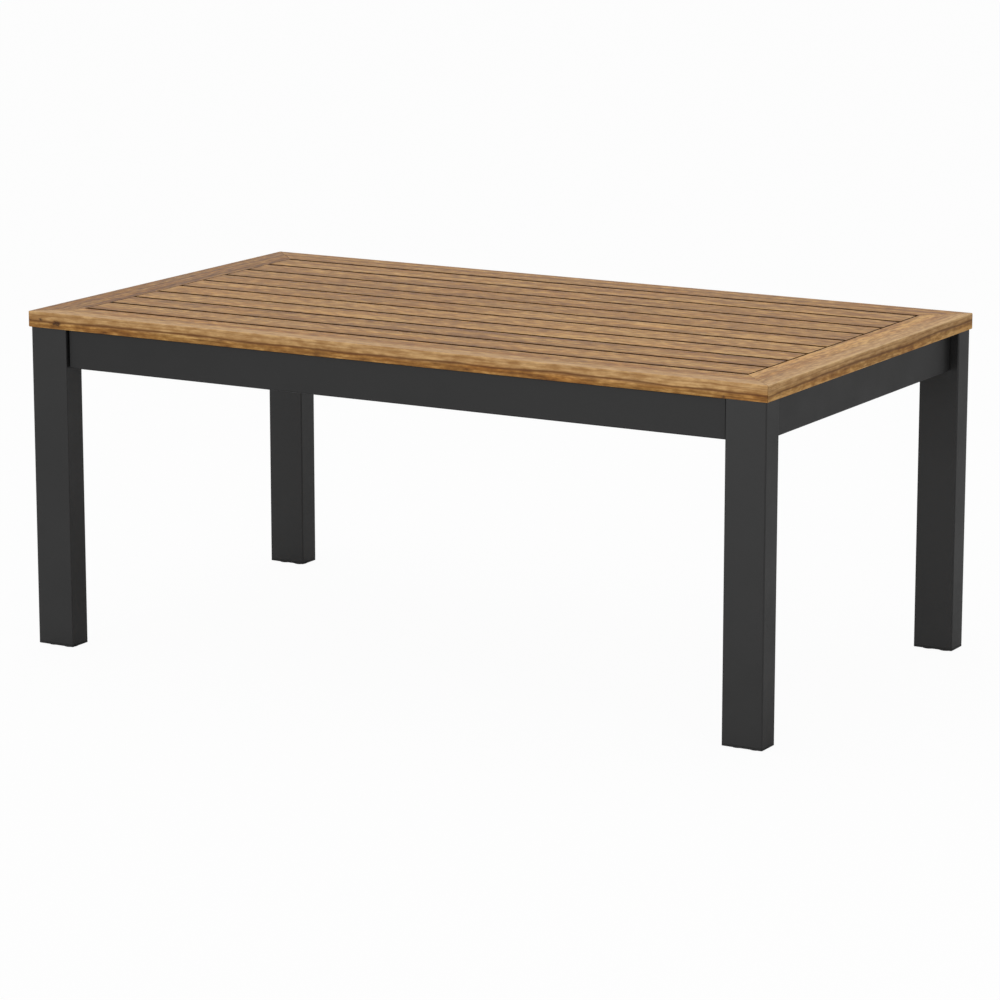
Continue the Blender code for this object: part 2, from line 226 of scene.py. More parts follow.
# %% Heartwood, knots and sapwood
def heart_streak(tree, place, height, rise, sway, thickness):
    """A dark layer of heartwood at this height, rising along the board. It sways over
    150 mm of length and swells over 60 mm."""
    wave = stretched_noise(tree, place, 150 * MM, 400 * MM)
    centred = add(tree, MATH, {0: wave, 1: 0.5}, operation="SUBTRACT")
    parts = add(tree, "ShaderNodeSeparateXYZ", {"Vector": place}).outputs
    climb = add(tree, MATH, {0: parts["X"], 1: rise, 2: height}, operation="MULTIPLY_ADD")
    middle = add(tree, MATH, {0: centred, 1: sway, 2: climb}, operation="MULTIPLY_ADD")
    off = add(tree, MATH, {0: parts["Z"], 1: middle}, operation="SUBTRACT")
    off = add(tree, MATH, {0: off}, operation="ABSOLUTE")
    swell = stretched_noise(tree, place, 60 * MM, 300 * MM, detail=1.0)
    reach = add(tree, MATH, {0: swell, 1: 2 * thickness}, operation="MULTIPLY")
    share = add(tree, MATH, {0: off, 1: reach}, operation="DIVIDE")
    return add(tree, MATH, {0: 1.15, 1: share}, operation="SUBTRACT", use_clamp=True)


def knot(tree, place, centre, radius, hollow):
    """Where a branch ran through the board: a dark rim if hollow is 1, a dark spot if 0.
    Its outline is ragged by up to its own radius, and it is a little longer than high."""
    ragged = stretched_noise(tree, place, 5 * MM, 3 * MM, detail=3.0).outputs["Color"]
    stray = (2.2 * radius, 0, 1.6 * radius)
    moved = add(tree, VECTOR, {0: ragged, 1: stray, 2: place}, operation="MULTIPLY_ADD")
    squeezed = add(tree, VECTOR, {0: moved, 1: (0.6, 0.15, 1)}, operation="MULTIPLY")
    x, y, z = centre
    eye = (0.6 * (x + 1.1 * radius), 0.15 * y, z + 0.8 * radius)
    away = add(tree, VECTOR, {0: squeezed, 1: eye}, operation="DISTANCE")
    radii = add(tree, MATH, {0: away, 1: radius}, operation="DIVIDE")
    rim = add(tree, MATH, {0: radii, 1: 0.6 * hollow}, operation="SUBTRACT")
    rim = add(tree, MATH, {0: rim}, operation="ABSOLUTE")
    fade = add(tree, MATH, {0: rim, 1: 1.2 + 1.3 * hollow}, operation="MULTIPLY")
    return add(tree, MATH, {0: 1.2, 1: fade}, operation="SUBTRACT", use_clamp=True)


def sapwood_edge(tree, place, corner, depth):
    """Pale sapwood along one long corner of the board. It reaches twice as far over the
    top as down the side, and its border wavers."""
    y, z = corner
    across = add(tree, VECTOR, {0: place, 1: (0, 0.5, 1)}, operation="MULTIPLY")
    away = add(tree, VECTOR, {0: across, 1: (0, 0.5 * y, z)}, operation="DISTANCE")
    waver = stretched_noise(tree, place, 180 * MM, 20 * MM)
    raised = add(tree, MATH, {0: waver, 1: 0.5}, operation="ADD")
    border = add(tree, MATH, {0: raised, 1: depth}, operation="MULTIPLY")
    ratio = add(tree, MATH, {0: away, 1: border}, operation="DIVIDE")
    return add(
        tree,
        MAP_RANGE,
        {0: ratio, 1: 0.4, 2: 1.15, 3: 1.0, 4: 0.0},
        interpolation_type="SMOOTHSTEP",
    )


print("streaks, knots and sapwood are ready")

# %% [markdown]
# ** Edges.** Hands rub an outer edge pale, and on the right board that pale edge is also a
# painted highlight. The upright sides along the gaps are darkened: that is painted shade,
# the shade that falls into the gaps. Both depend only on which way the surface faces, so
# they are read from its normal: a rounded upper edge leans half up, and the side of a
# slat stands upright.

# %% Pale edges and painted shade in the gaps
# The direction for a board that has no side on a gap.
NOWHERE = (0, 0, 0)


def on_arris(tree):
    """1 on a rounded upper edge, which faces half up, and 0 on the flat and underneath."""
    normal = add(tree, "ShaderNodeTexCoord").outputs["Normal"]
    leaning = add(tree, "ShaderNodeSeparateXYZ", {"Vector": normal}).outputs["Z"]
    upright = add(tree, MATH, {0: leaning, 1: 0.0}, operation="MAXIMUM")
    square = add(tree, MATH, {0: upright, 1: upright}, operation="MULTIPLY")
    slope = add(tree, MATH, {0: square, 1: 2.0, 2: -1.0}, operation="MULTIPLY_ADD")
    slope = add(tree, MATH, {0: slope}, operation="ABSOLUTE")
    return add(
        tree, MATH, {0: slope, 1: -3.0, 2: 3.0}, operation="MULTIPLY_ADD", use_clamp=True
    )


def facing_inwards(tree, inwards):
    """1 on a side that faces a gap: any upright side of a slat, or a board's inner edge."""
    normal = add(tree, "ShaderNodeTexCoord").outputs["Normal"]
    if inwards is None:
        tilt = add(tree, "ShaderNodeSeparateXYZ", {"Vector": normal}).outputs["Z"]
        level = add(tree, MATH, {0: tilt}, operation="ABSOLUTE")
        lean = add(tree, MATH, {0: 1.0, 1: level}, operation="SUBTRACT")
    else:
        lean = add(tree, VECTOR, {0: normal, 1: inwards}, operation="DOT_PRODUCT")
    return add(tree, MAP_RANGE, {0: lean, 1: 0.06, 2: 0.3}, interpolation_type="SMOOTHSTEP")


print("edges are read from the normal")

# %% [markdown]
# **The whole finish.** Four layers of noise are added up and looked up in one ramp of
# browns. Some patches are then warmed towards gold, and sapwood goes along its corner.
# The marks follow one by one: streaks, knots, pores and worn edges, as stains would, with
# some painted highlight on the worn edges, and then painted shade on the upright sides
# along the gaps. Oil leaves a soft sheen, so roughness sits near 0.5, and the open pores
# catch a little shadow.

# %% Oiled acacia
WOOD_BROWNS = ((0.26, "#653f16"), (0.42, "#8a612d"), (0.56, "#9f743a"), (0.76, "#ca9f60"))
GOLD = "#f0d09c"
SAPWOOD_DARK = "#a57b49"
SAPWOOD_PALE = "#cca673"
HEARTWOOD = "#5c3514"
KNOT_BARK = "#3a200e"
OPEN_PORE = "#5a3a1c"
# Pale for worn upper edges, and partly a painted highlight.
RUBBED_AND_HIGHLIGHT = "#dcbc90"
# Dark for the upright sides along the gaps: painted shade.
GAP_PAINTED_SHADE = "#38200b"
# How much each layer and each mark counts.
GROWTH_SHARE = 0.5
FINE_SHARE = 0.25
FIBRE_SHARE = 0.46
RIBBON_SHARE = 0.95
SAPWOOD_SHARE = 0.85
KNOT_SHARE = 0.85
PORE_SHARE = 0.35
GAP_SHADE_SHARE = 0.93


def acacia(
    name,
    shift=(0, 0, 0),
    turn=0.0,
    pith=(0, 0.05, -0.09),
    tone=0.0,
    gold=0.25,
    inwards=None,
    rubbed_and_highlight=0.2,
    sapwood=None,
    streaks=(),
    knots=(),
):
    """Acacia, planed and oiled. Tone above 0 is paler, gold is its share of yellow, and the
    edge share says how pale its upper edges get: worn, and partly a painted highlight."""
    material, tree, shader = new_material(name)
    place = board_coordinates(tree, shift, turn)
    distance = distance_to_pith(tree, place, pith)
    fibre = stretched_noise(tree, place, FIBRE_LENGTH, FIBRE_WIDTH, detail=3.0)
    layers = (
        (bands(tree, distance, GROWTH_BAND), GROWTH_SHARE),
        (bands(tree, distance, FINE_BAND), FINE_SHARE),
        (fibre, FIBRE_SHARE),
        (stretched_noise(tree, place, RIBBON_LENGTH, RIBBON_WIDTH, detail=3.0), RIBBON_SHARE),
    )
    own = add(tree, "ShaderNodeAttribute", attribute_name="board_tone").outputs["Fac"]
    level = tone + 0.5 - 0.5 * sum(share for _, share in layers)
    brown = add(tree, MATH, {0: own, 1: level}, operation="ADD")
    for layer, share in layers:
        brown = add(tree, MATH, {0: layer, 1: share, 2: brown}, operation="MULTIPLY_ADD")
    ramp = add(tree, "ShaderNodeValToRGB", {"Fac": brown})
    set_ramp(ramp, WOOD_BROWNS)

    patch = stretched_noise(tree, place, 110 * MM, 16 * MM)
    yellow = add(tree, MAP_RANGE, {0: patch, 1: 0.35, 2: 0.7, 3: 0.0, 4: 2 * gold})
    colour = add(
        tree, MIX, {0: yellow, 6: ramp, 7: linear(GOLD)}, data_type="RGBA", blend_type="MULTIPLY"
    )
    if sapwood:
        pale = add(tree, MAP_RANGE, {0: brown, 1: 0.35, 2: 0.7})
        sap = add(
            tree,
            MIX,
            {0: pale, 6: linear(SAPWOOD_DARK), 7: linear(SAPWOOD_PALE)},
            data_type="RGBA",
        )
        edge = sapwood_edge(tree, place, *sapwood)
        share = add(tree, MATH, {0: edge, 1: SAPWOOD_SHARE}, operation="MULTIPLY")
        colour = add(tree, MIX, {0: share, 6: colour, 7: sap}, data_type="RGBA")

    pores = stretched_noise(tree, place, PORE_LENGTH, PORE_WIDTH, detail=1.0)
    pores = add(
        tree, MATH, {0: pores, 1: 6.0, 2: -3.7}, operation="MULTIPLY_ADD", use_clamp=True
    )
    # The sides that face a gap; their dark colour below is painted shade.
    gap_side_shade = facing_inwards(tree, inwards)
    marks = [
        (heart_streak(tree, place, *streak), strength, HEARTWOOD) for *streak, strength in streaks
    ]
    marks += [(knot(tree, place, *each), KNOT_SHARE, KNOT_BARK) for each in knots]
    # Pale upper edges are partly wear and partly a painted highlight; dark sides on the gaps are
    # painted shade.
    marks += [
        (pores, PORE_SHARE, OPEN_PORE),
        (on_arris(tree), rubbed_and_highlight, RUBBED_AND_HIGHLIGHT),
        (gap_side_shade, GAP_SHADE_SHARE, GAP_PAINTED_SHADE),
    ]
    for where, strength, stain in marks:
        share = add(tree, MATH, {0: where, 1: strength}, operation="MULTIPLY")
        colour = add(tree, MIX, {0: share, 6: colour, 7: linear(stain)}, data_type="RGBA")

    sheen = add(tree, MAP_RANGE, {0: fibre, 1: 0.3, 2: 0.7, 3: 0.46, 4: 0.62})
    rough = add(
        tree, MATH, {0: gap_side_shade, 1: 0.3 * GAP_SHADE_SHARE, 2: sheen}, operation="MULTIPLY_ADD"
    )
    relief = add(tree, MATH, {0: pores, 1: -0.6, 2: fibre}, operation="MULTIPLY_ADD")
    bump = add(
        tree, "ShaderNodeBump", {"Strength": 0.35, "Distance": 0.15 * MM, "Height": relief}
    )
    fill(tree, shader, {"Base Color": colour, "Roughness": rough, "Normal": bump})
    fill(tree, shader, {"IOR": 1.48, "Specular IOR Level": 0.22})
    return material


print("browns", [colour for _, colour in WOOD_BROWNS])

# %% [markdown]
# **The frame boards** keep their solid shape: the mitres, the rounded arrises and the
# hidden groove are already right. Each one gets its own cut from the trunk, so no two
# match. The front board shows a dark layer of heartwood along its edge, sapwood above
# it and three small knots, the kind a maker turns outwards because they are sound. The
# right board shows the same layers, and its streaks rise a little towards the back.

# %% Wood on the frame boards
low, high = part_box("board_front")
TOP_THICKNESS = high.z - low.z
RIGHT_SHIFT = 5.3
RIGHT_RISE = 0.012


def height_in_top(share):
    """A height in the top, from 0 at its underside to 1 at its upper face."""
    return low.z + share * TOP_THICKNESS


# Each streak is its height, rise, sway, thickness and strength.
front_streaks = (
    (height_in_top(0.46), 0.0, 11 * MM, 2.1 * MM, 0.85),
    (height_in_top(0.84), 0.0, 12 * MM, 0.8 * MM, 0.3),
    (height_in_top(0.22), 0.0, 12 * MM, 1.0 * MM, 0.35),
)
right_streaks = (
    (height_in_top(0.5) - RIGHT_RISE * RIGHT_SHIFT, RIGHT_RISE, 14 * MM, 1.8 * MM, 0.8),
    (height_in_top(0.78) - RIGHT_RISE * RIGHT_SHIFT, RIGHT_RISE, 12 * MM, 0.9 * MM, 0.35),
)
# Each knot is its centre, radius and hollowness.
front_knots = (
    ((low.x + 46 * MM, low.y, height_in_top(0.36)), 5 * MM, 0.45),
    ((low.x + 20 * MM, low.y, height_in_top(0.52)), 2.6 * MM, 0),
    ((high.x - 60 * MM, low.y, height_in_top(0.1)), 2.6 * MM, 0),
)
boards = {
    "board_front": acacia(
        "acacia_front",
        inwards=(0, 1, 0),
        sapwood=((low.y, high.z), 14 * MM),
        streaks=front_streaks,
        knots=front_knots,
        rubbed_and_highlight=0.05,
        gold=0.35,
    ),
    "board_back": acacia(
        "acacia_back",
        shift=(3.1, 0.4, 0),
        pith=(0, 0.12, 0.32),
        inwards=(0, -1, 0),
        tone=-0.01,
    ),
    "board_right": acacia(
        "acacia_right",
        shift=(RIGHT_SHIFT, 0, 0),
        turn=pi / 2,
        pith=(0, -0.45, 0.30),
        inwards=(-1, 0, 0),
        sapwood=((-high.x, high.z), 13 * MM),
        streaks=right_streaks,
        # The right board's upper edges are paler than the rest: partly wear, partly a painted
        # highlight.
        rubbed_and_highlight=0.5,
        gold=0.3,
        tone=0.07,
    ),
    "board_left": acacia(
        "acacia_left",
        shift=(7.7, 0, 0),
        turn=pi / 2,
        pith=(0, 0.6, 0.36),
        inwards=(1, 0, 0),
        tone=-0.07,
    ),
}
for name, material in boards.items():
    coat_solids(name, material)
coat_solids("mitre_spline", boards["board_back"])

# %% [markdown]
# **Slats and battens** are the same board again and again, which is what Geometry Nodes
# are for. Three functions wrap the work on a tree: one starts it with named inputs, one
# ends it, and one runs it and keeps the mesh. Every tree ends in real geometry with its
# material set, because an export leaves instances out.

# %% Starting, ending and running a tree
def new_tree(name, inputs):
    """A geometry tree with named inputs, given as (name, socket kind, value)."""
    tree = bpy.data.node_groups.new(name, "GeometryNodeTree")
    for label, kind, value in inputs:
        socket = tree.interface.new_socket(
            label, in_out="INPUT", socket_type="NodeSocket" + kind
        )
        if value is not None:
            socket.default_value = value
    tree.interface.new_socket("Result", in_out="OUTPUT", socket_type="NodeSocketGeometry")
    return tree, add(tree, "NodeGroupInput").outputs


def close_tree(tree, geometry, material):
    """End the tree: instances made real, then the material."""
    real = add(tree, "GeometryNodeRealizeInstances", {0: geometry})
    shown = add(tree, "GeometryNodeSetMaterial", {0: real, "Material": material})
    add(tree, "NodeGroupOutput", {0: shown})


def run_tree(name, tree, values, start=None):
    """Run a tree once and keep the result as a plain mesh on a new object."""
    obj = bpy.data.objects.new(name, start or bpy.data.meshes.new(name + "_start"))
    bpy.context.scene.collection.objects.link(obj)
    modifier = obj.modifiers.new("build", "NODES")
    modifier.node_group = tree
    for item in tree.interface.items_tree:
        if item.in_out == "INPUT" and item.name in values:
            modifier[item.identifier] = values[item.name]
    graph = bpy.context.evaluated_depsgraph_get()
    mesh = bpy.data.meshes.new_from_object(obj.evaluated_get(graph))
    # The start mesh has no material, which can leave an empty slot before the real one.
    if mesh.materials[0] is None:
        mesh.materials.pop(index=0)
    obj.modifiers.remove(modifier)
    obj.data = mesh
    print(name, len(mesh.polygons), "faces")
    return obj


print("trees can be started, ended and run")

# %% [markdown]
# **One board, many times.** The tree makes a board with a tongue at each end, sets it
# out in a row and turns the row. A random number for each board moves its grain along
# the trunk, and another makes it a little paler or darker. Both use a fixed seed, so the
# same boards come back on every run.

# %% A tree for a row of boards
TONE_SPREAD = 0.07
FURTHEST_BACK = (-9, -0.03, -0.05)
FURTHEST_FORWARD = (9, 0.03, 0.01)

board_row, size = new_tree(
    "row_of_boards",
    (
        ("Count", "Int", 9),
        ("Pitch", "Float", 0.056),
        ("Length", "Float", 1.0),
        ("Width", "Float", 0.052),
        ("Thickness", "Float", 0.0215),
        ("Tongue Length", "Float", 0.01),
        ("Tongue Thickness", "Float", 0.008),
        ("Shoulder", "Float", 0.004),
        ("Centre", "Vector", (0, 0, 0)),
        ("Turn", "Rotation", (0, 0, 0)),
        ("Seed", "Int", 0),
        ("Material", "Material", None),
    ),
)
body_size = add(
    board_row, "ShaderNodeCombineXYZ", {0: size["Length"], 1: size["Width"], 2: size["Thickness"]}
)
body = add(board_row, "GeometryNodeMeshCube", {"Size": body_size})
both_tongues = add(
    board_row,
    MATH,
    {0: size["Tongue Length"], 1: 2.0, 2: size["Length"]},
    operation="MULTIPLY_ADD",
)
tongue_width = add(
    board_row, MATH, {0: size["Shoulder"], 1: -2.0, 2: size["Width"]}, operation="MULTIPLY_ADD"
)
tongue_size = add(
    board_row,
    "ShaderNodeCombineXYZ",
    {0: both_tongues, 1: tongue_width, 2: size["Tongue Thickness"]},
)
tongue = add(board_row, "GeometryNodeMeshCube", {"Size": tongue_size})
board = add(
    board_row,
    "GeometryNodeMeshBoolean",
    {"Mesh 2": [body, tongue]},
    operation="UNION",
    solver="EXACT",
)
step = add(board_row, "ShaderNodeCombineXYZ", {1: size["Pitch"]})
gaps = add(board_row, MATH, {0: size["Count"], 1: 1.0}, operation="SUBTRACT")
half_row = add(board_row, MATH, {0: gaps, 1: -0.5}, operation="MULTIPLY")
first = add(board_row, VECTOR, {0: step, "Scale": half_row}, operation="SCALE")
line = add(
    board_row,
    "GeometryNodeMeshLine",
    {"Count": size["Count"], "Start Location": first, "Offset": step},
    mode="OFFSET",
)
row = add(board_row, "GeometryNodeInstanceOnPoints", {"Points": line, "Instance": board})
grain_shift = add(
    board_row,
    "FunctionNodeRandomValue",
    {0: FURTHEST_BACK, 1: FURTHEST_FORWARD, "Seed": size["Seed"]},
    data_type="FLOAT_VECTOR",
)
row = add(
    board_row,
    "GeometryNodeStoreNamedAttribute",
    {"Geometry": row, "Name": "board_shift", "Value": grain_shift},
    data_type="FLOAT_VECTOR",
    domain="INSTANCE",
)
# A seed of its own, so that a board's tone has nothing to do with its grain.
tone_seed = add(board_row, MATH, {0: size["Seed"], 1: 7.0}, operation="ADD")
tone = add(
    board_row,
    "FunctionNodeRandomValue",
    {2: -TONE_SPREAD, 3: TONE_SPREAD, "Seed": tone_seed},
    data_type="FLOAT",
)
row = add(
    board_row,
    "GeometryNodeStoreNamedAttribute",
    {"Geometry": row, "Name": "board_tone", "Value": tone},
    data_type="FLOAT",
    domain="INSTANCE",
)
row = add(
    board_row,
    "GeometryNodeTransform",
    {"Geometry": row, "Translation": size["Centre"], "Rotation": size["Turn"]},
)
close_tree(board_row, row, size["Material"])
print(board_row.name, "has", len(board_row.nodes), "nodes")

# %% [markdown]
# The slats come out of the tree with crisp edges. Nobody leaves a garden table like
# that, because a sharp arris splinters, so a small Bevel rounds every one as sanding
# would. Their places are read from the solid slats that they stand for, so the two can't
# drift apart. The battens hide under the slats, and their sides get no painted shade.

# %% Slats and battens
SLAT_ARRIS = 0.4 * MM
BATTEN_ARRIS = 1 * MM
TONGUE_LENGTH = 10 * MM
TONGUE_THICKNESS = 8 * MM
TONGUE_SHOULDER = 4 * MM
END_GAP_LEFT = 0.8 * MM
END_GAP_RIGHT = 2.2 * MM
slat_names = sorted(name for name in nodes if name.startswith("slat_"))
batten_names = sorted(name for name in nodes if name.startswith("batten_"))


def ease_edges(obj, width):
    """Round every sharp edge a little and shade the result smoothly."""
    bevel = obj.modifiers.new("eased", "BEVEL")
    bevel.width = width
    bevel.segments = 3
    bevel.limit_method = "ANGLE"
    bevel.angle_limit = radians(40)
    bevel.harden_normals = True
    obj.data.shade_smooth()


def finish_piece(obj, names=()):
    """Attach a piece to the root body, and hide the solids that it stands for."""
    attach(obj, "root")
    if names:
        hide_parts(*names)


first_low, first_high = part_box(slat_names[0])
last_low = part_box(slat_names[-1])[0]
body_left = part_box("board_left")[1].x + END_GAP_LEFT
body_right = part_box("board_right")[0].x - END_GAP_RIGHT
slats = run_tree(
    "slats",
    board_row,
    {
        "Count": len(slat_names),
        "Pitch": (last_low.y - first_low.y) / (len(slat_names) - 1),
        "Length": body_right - body_left,
        "Width": first_high.y - first_low.y,
        "Thickness": TOP_THICKNESS,
        "Tongue Length": TONGUE_LENGTH,
        "Tongue Thickness": TONGUE_THICKNESS,
        "Shoulder": TONGUE_SHOULDER,
        "Centre": ((body_left + body_right) / 2, 0, low.z + TOP_THICKNESS / 2),
        "Seed": 4,
        "Material": acacia("acacia_slats"),
    },
)
ease_edges(slats, SLAT_ARRIS)
finish_piece(slats, slat_names)

first_low, first_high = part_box(batten_names[0])
last_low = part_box(batten_names[-1])[0]
battens = run_tree(
    "battens",
    board_row,
    {
        "Count": len(batten_names),
        "Pitch": (last_low.x - first_low.x) / (len(batten_names) - 1),
        "Length": first_high.y - first_low.y,
        "Width": first_high.x - first_low.x,
        "Thickness": first_high.z - first_low.z,
        # A batten has no tongue, so that block stays inside the board.
        "Tongue Length": -BATTEN_ARRIS,
        "Tongue Thickness": TONGUE_THICKNESS,
        "Shoulder": TONGUE_SHOULDER,
        "Centre": (0, 0, (first_low.z + first_high.z) / 2),
        "Turn": (0, 0, pi / 2),
        "Seed": 11,
        "Material": acacia("acacia_underside", turn=pi / 2, tone=-0.03, inwards=NOWHERE),
    },
)
ease_edges(battens, BATTEN_ARRIS)
finish_piece(battens, batten_names)

# %% [markdown]
# ** Powder coat.** The tubes are sprayed with dry anthracite powder, nearly black, and
# baked until it flows. The result is a thin, even plastic skin with a very fine orange
# peel, matte and without a direction. It is a coating, so metallic stays at 0 although
# the tube is aluminium. Two sizes of noise give the peel and the faint cloudiness that an
# even coat still shows in raking light. The aprons get less sheen than the legs: that is
# painted shade.

# %% Powder-coated aluminium
# Orange peel on a thin coat has cells of one to two millimetres. The coat's thickness
# drifts over about a hand's width, as the gun passes.
PEEL = 1.4 * MM
CLOUD = 90 * MM
LEG_SHEEN = 0.52
# Less sheen on the aprons than on the legs: painted shade.
APRON_SHADED_SHEEN = 0.42


def powder_coat(name, sheen):
    """Near-black polyester powder, sprayed and baked on aluminium tube."""
    material, tree, shader = new_material(name)
    place = add(tree, "ShaderNodeTexCoord").outputs["Object"]
    peel = add(tree, "ShaderNodeTexNoise", {"Vector": place, "Scale": 1 / PEEL, "Detail": 1.0})
    cloud = add(tree, "ShaderNodeTexNoise", {"Vector": place, "Scale": 1 / CLOUD, "Detail": 3.0})
    colour = add(tree, "ShaderNodeValToRGB", {"Fac": cloud})
    set_ramp(colour, ((0.35, "#111111"), (0.65, "#161616")))
    gloss = add(tree, MAP_RANGE, {0: cloud, 1: 0.3, 2: 0.7, 3: 0.42, 4: 0.52})
    bump = add(
        tree, "ShaderNodeBump", {"Strength": 0.25, "Distance": 0.05 * MM, "Height": peel}
    )
    fill(tree, shader, {"Base Color": colour, "Roughness": gloss, "Normal": bump})
    fill(tree, shader, {"IOR": 1.5, "Specular IOR Level": sheen})
    return material


coat_solids("leg_", powder_coat("powder_coat_on_legs", LEG_SHEEN))
coat_solids("apron_", powder_coat("powder_coat_shaded_aprons", APRON_SHADED_SHEEN))

# %% [markdown]
# **Foot caps** are moulded in black polypropylene. The mould's steel is spark eroded,
# and that leaves a fine, dull grain on every cap. Sliding on stone scuffs the pads grey,
# so the lowest three millimetres get paler and rougher towards the floor.

# %% Moulded polypropylene
# A spark-eroded grain is about 0.2 mm. It is drawn coarser, because it would not show.
MOULD_GRAIN = 0.8 * MM
PAD_HEIGHT = 3 * MM


def polypropylene(pad_height):
    """Black polypropylene from a spark-eroded mould, scuffed where it meets the floor."""
    material, tree, shader = new_material("moulded_polypropylene")
    place = add(tree, "ShaderNodeTexCoord").outputs["Object"]
    grain = add(
        tree, "ShaderNodeTexNoise", {"Vector": place, "Scale": 1 / MOULD_GRAIN, "Detail": 2.0}
    )
    height = add(tree, "ShaderNodeSeparateXYZ", {"Vector": place}).outputs["Z"]
    scuff = add(tree, MAP_RANGE, {0: height, 1: 0.0, 2: pad_height, 3: 0.6, 4: 0.0})
    worn = add(tree, MATH, {0: scuff, 1: grain}, operation="MULTIPLY")
    colour = add(
        tree, MIX, {0: worn, 6: linear("#0e0e0e"), 7: linear("#3c3a38")}, data_type="RGBA"
    )
    rough = add(tree, MATH, {0: worn, 1: 0.5, 2: 0.48}, operation="MULTIPLY_ADD")
    bump = add(
        tree, "ShaderNodeBump", {"Strength": 0.4, "Distance": 0.04 * MM, "Height": grain}
    )
    fill(tree, shader, {"Base Color": colour, "Roughness": rough, "Normal": bump, "IOR": 1.49})
    return material


coat_solids("foot_cap_", polypropylene(PAD_HEIGHT))

# %% [markdown]
# **Brackets, bolts and screws** are zinc-plated steel. Zinc from a plating bath is a
# bright blue-white metal that never lies quite even, so its gloss drifts over a few
# millimetres and its colour over a few centimetres. It is a bare metal to the eye:
# metallic 1, with the default IOR.

# %% Zinc-plated steel
# Real crystals in the plating are too small to see, so they are drawn 5 mm wide.
SPANGLE = 5 * MM


def zinc_plate():
    """Steel with a bright electroplated coat of zinc."""
    material, tree, shader = new_material("zinc_plated_steel")
    place = add(tree, "ShaderNodeTexCoord").outputs["Object"]
    spangle = add(tree, "ShaderNodeTexVoronoi", {"Vector": place, "Scale": 1 / SPANGLE})
    drift = add(tree, "ShaderNodeTexNoise", {"Vector": place, "Scale": 1 / (4 * SPANGLE)})
    colour = add(tree, "ShaderNodeValToRGB", {"Fac": drift})
    set_ramp(colour, ((0.3, "#a9aba8"), (0.7, "#c6c9c9")))
    gloss = add(tree, MAP_RANGE, {0: spangle, 1: 0.0, 2: 0.8, 3: 0.26, 4: 0.42})
    fill(tree, shader, {"Base Color": colour, "Roughness": gloss, "Metallic": 1.0})
    return material


zinc = zinc_plate()
brackets = coat_solids("corner_bracket_", zinc)

# %% [markdown]
# **One fastener for all.** Bolts and screws differ only in size and recess, so one tree
# makes them all: a shank, a round head with a sloped crown, and a recess cut in it. It
# puts one on each point of a small mesh and turns it to face along the point's own
# direction. Bolts take a six-sided recess for a key, and wood screws a four-sided one
# for a square bit. The seed turns each recess its own way, as a driver leaves it.

# %% A tree for fasteners
HEAD_SIDES = 24
SHANK_SIDES = 16
CROWN_TOP = 0.72
CROWN_SHARE = 0.4
RIM_SHARE = 0.61
INTO_HEAD = 1 * MM

fastener, size = new_tree(
    "fasteners_on_points",
    (
        ("Points", "Geometry", None),
        ("Head Radius", "Float", 0.0055),
        ("Head Height", "Float", 0.0032),
        ("Shank Radius", "Float", 0.003),
        ("Shank Length", "Float", 0.012),
        ("Recess Radius", "Float", 0.0022),
        ("Recess Sides", "Int", 6),
        ("Seed", "Int", 0),
        ("Material", "Material", None),
    ),
)


def lifted(geometry, length, share):
    """Move a shape up its own axis by a share of this length."""
    height = add(fastener, MATH, {0: length, 1: share}, operation="MULTIPLY")
    up = add(fastener, "ShaderNodeCombineXYZ", {2: height})
    return add(fastener, "GeometryNodeTransform", {"Geometry": geometry, "Translation": up})


top_radius = add(fastener, MATH, {0: size["Head Radius"], 1: CROWN_TOP}, operation="MULTIPLY")
crown_height = add(fastener, MATH, {0: size["Head Height"], 1: CROWN_SHARE}, operation="MULTIPLY")
crown = add(
    fastener,
    "GeometryNodeMeshCone",
    {
        "Vertices": HEAD_SIDES,
        "Radius Top": top_radius,
        "Radius Bottom": size["Head Radius"],
        "Depth": crown_height,
    },
)
rim_height = add(fastener, MATH, {0: size["Head Height"], 1: RIM_SHARE}, operation="MULTIPLY")
rim = add(
    fastener,
    "GeometryNodeMeshCylinder",
    {"Vertices": HEAD_SIDES, "Radius": size["Head Radius"], "Depth": rim_height},
)
shank_length = add(fastener, MATH, {0: size["Shank Length"], 1: INTO_HEAD}, operation="ADD")
shank = add(
    fastener,
    "GeometryNodeMeshCylinder",
    {"Vertices": SHANK_SIDES, "Radius": size["Shank Radius"], "Depth": shank_length},
)
parts = [
    lifted(crown, size["Head Height"], 1 - CROWN_SHARE),
    lifted(rim, size["Head Height"], RIM_SHARE / 2),
    lifted(shank, size["Shank Length"], -0.5),
]
whole = add(
    fastener, "GeometryNodeMeshBoolean", {"Mesh 2": parts}, operation="UNION", solver="EXACT"
)
recess = add(
    fastener,
    "GeometryNodeMeshCylinder",
    {
        "Vertices": size["Recess Sides"],
        "Radius": size["Recess Radius"],
        "Depth": size["Head Height"],
    },
)
cut = add(
    fastener,
    "GeometryNodeMeshBoolean",
    {"Mesh 1": whole, "Mesh 2": lifted(recess, size["Head Height"], 1.0)},
    operation="DIFFERENCE",
    solver="EXACT",
)
facing = add(
    fastener, "GeometryNodeInputNamedAttribute", {"Name": "facing"}, data_type="FLOAT_VECTOR"
)
turned = add(fastener, "FunctionNodeAlignRotationToVector", {"Vector": facing}, axis="Z")
spin = add(
    fastener,
    "FunctionNodeRandomValue",
    {0: (0, 0, 0), 1: (0, 0, 2 * pi), "Seed": size["Seed"]},
    data_type="FLOAT_VECTOR",
)
placed = add(
    fastener,
    "GeometryNodeInstanceOnPoints",
    {"Points": size["Points"], "Instance": cut, "Rotation": turned},
)
placed = add(fastener, "GeometryNodeRotateInstances", {"Instances": placed, "Rotation": spin})
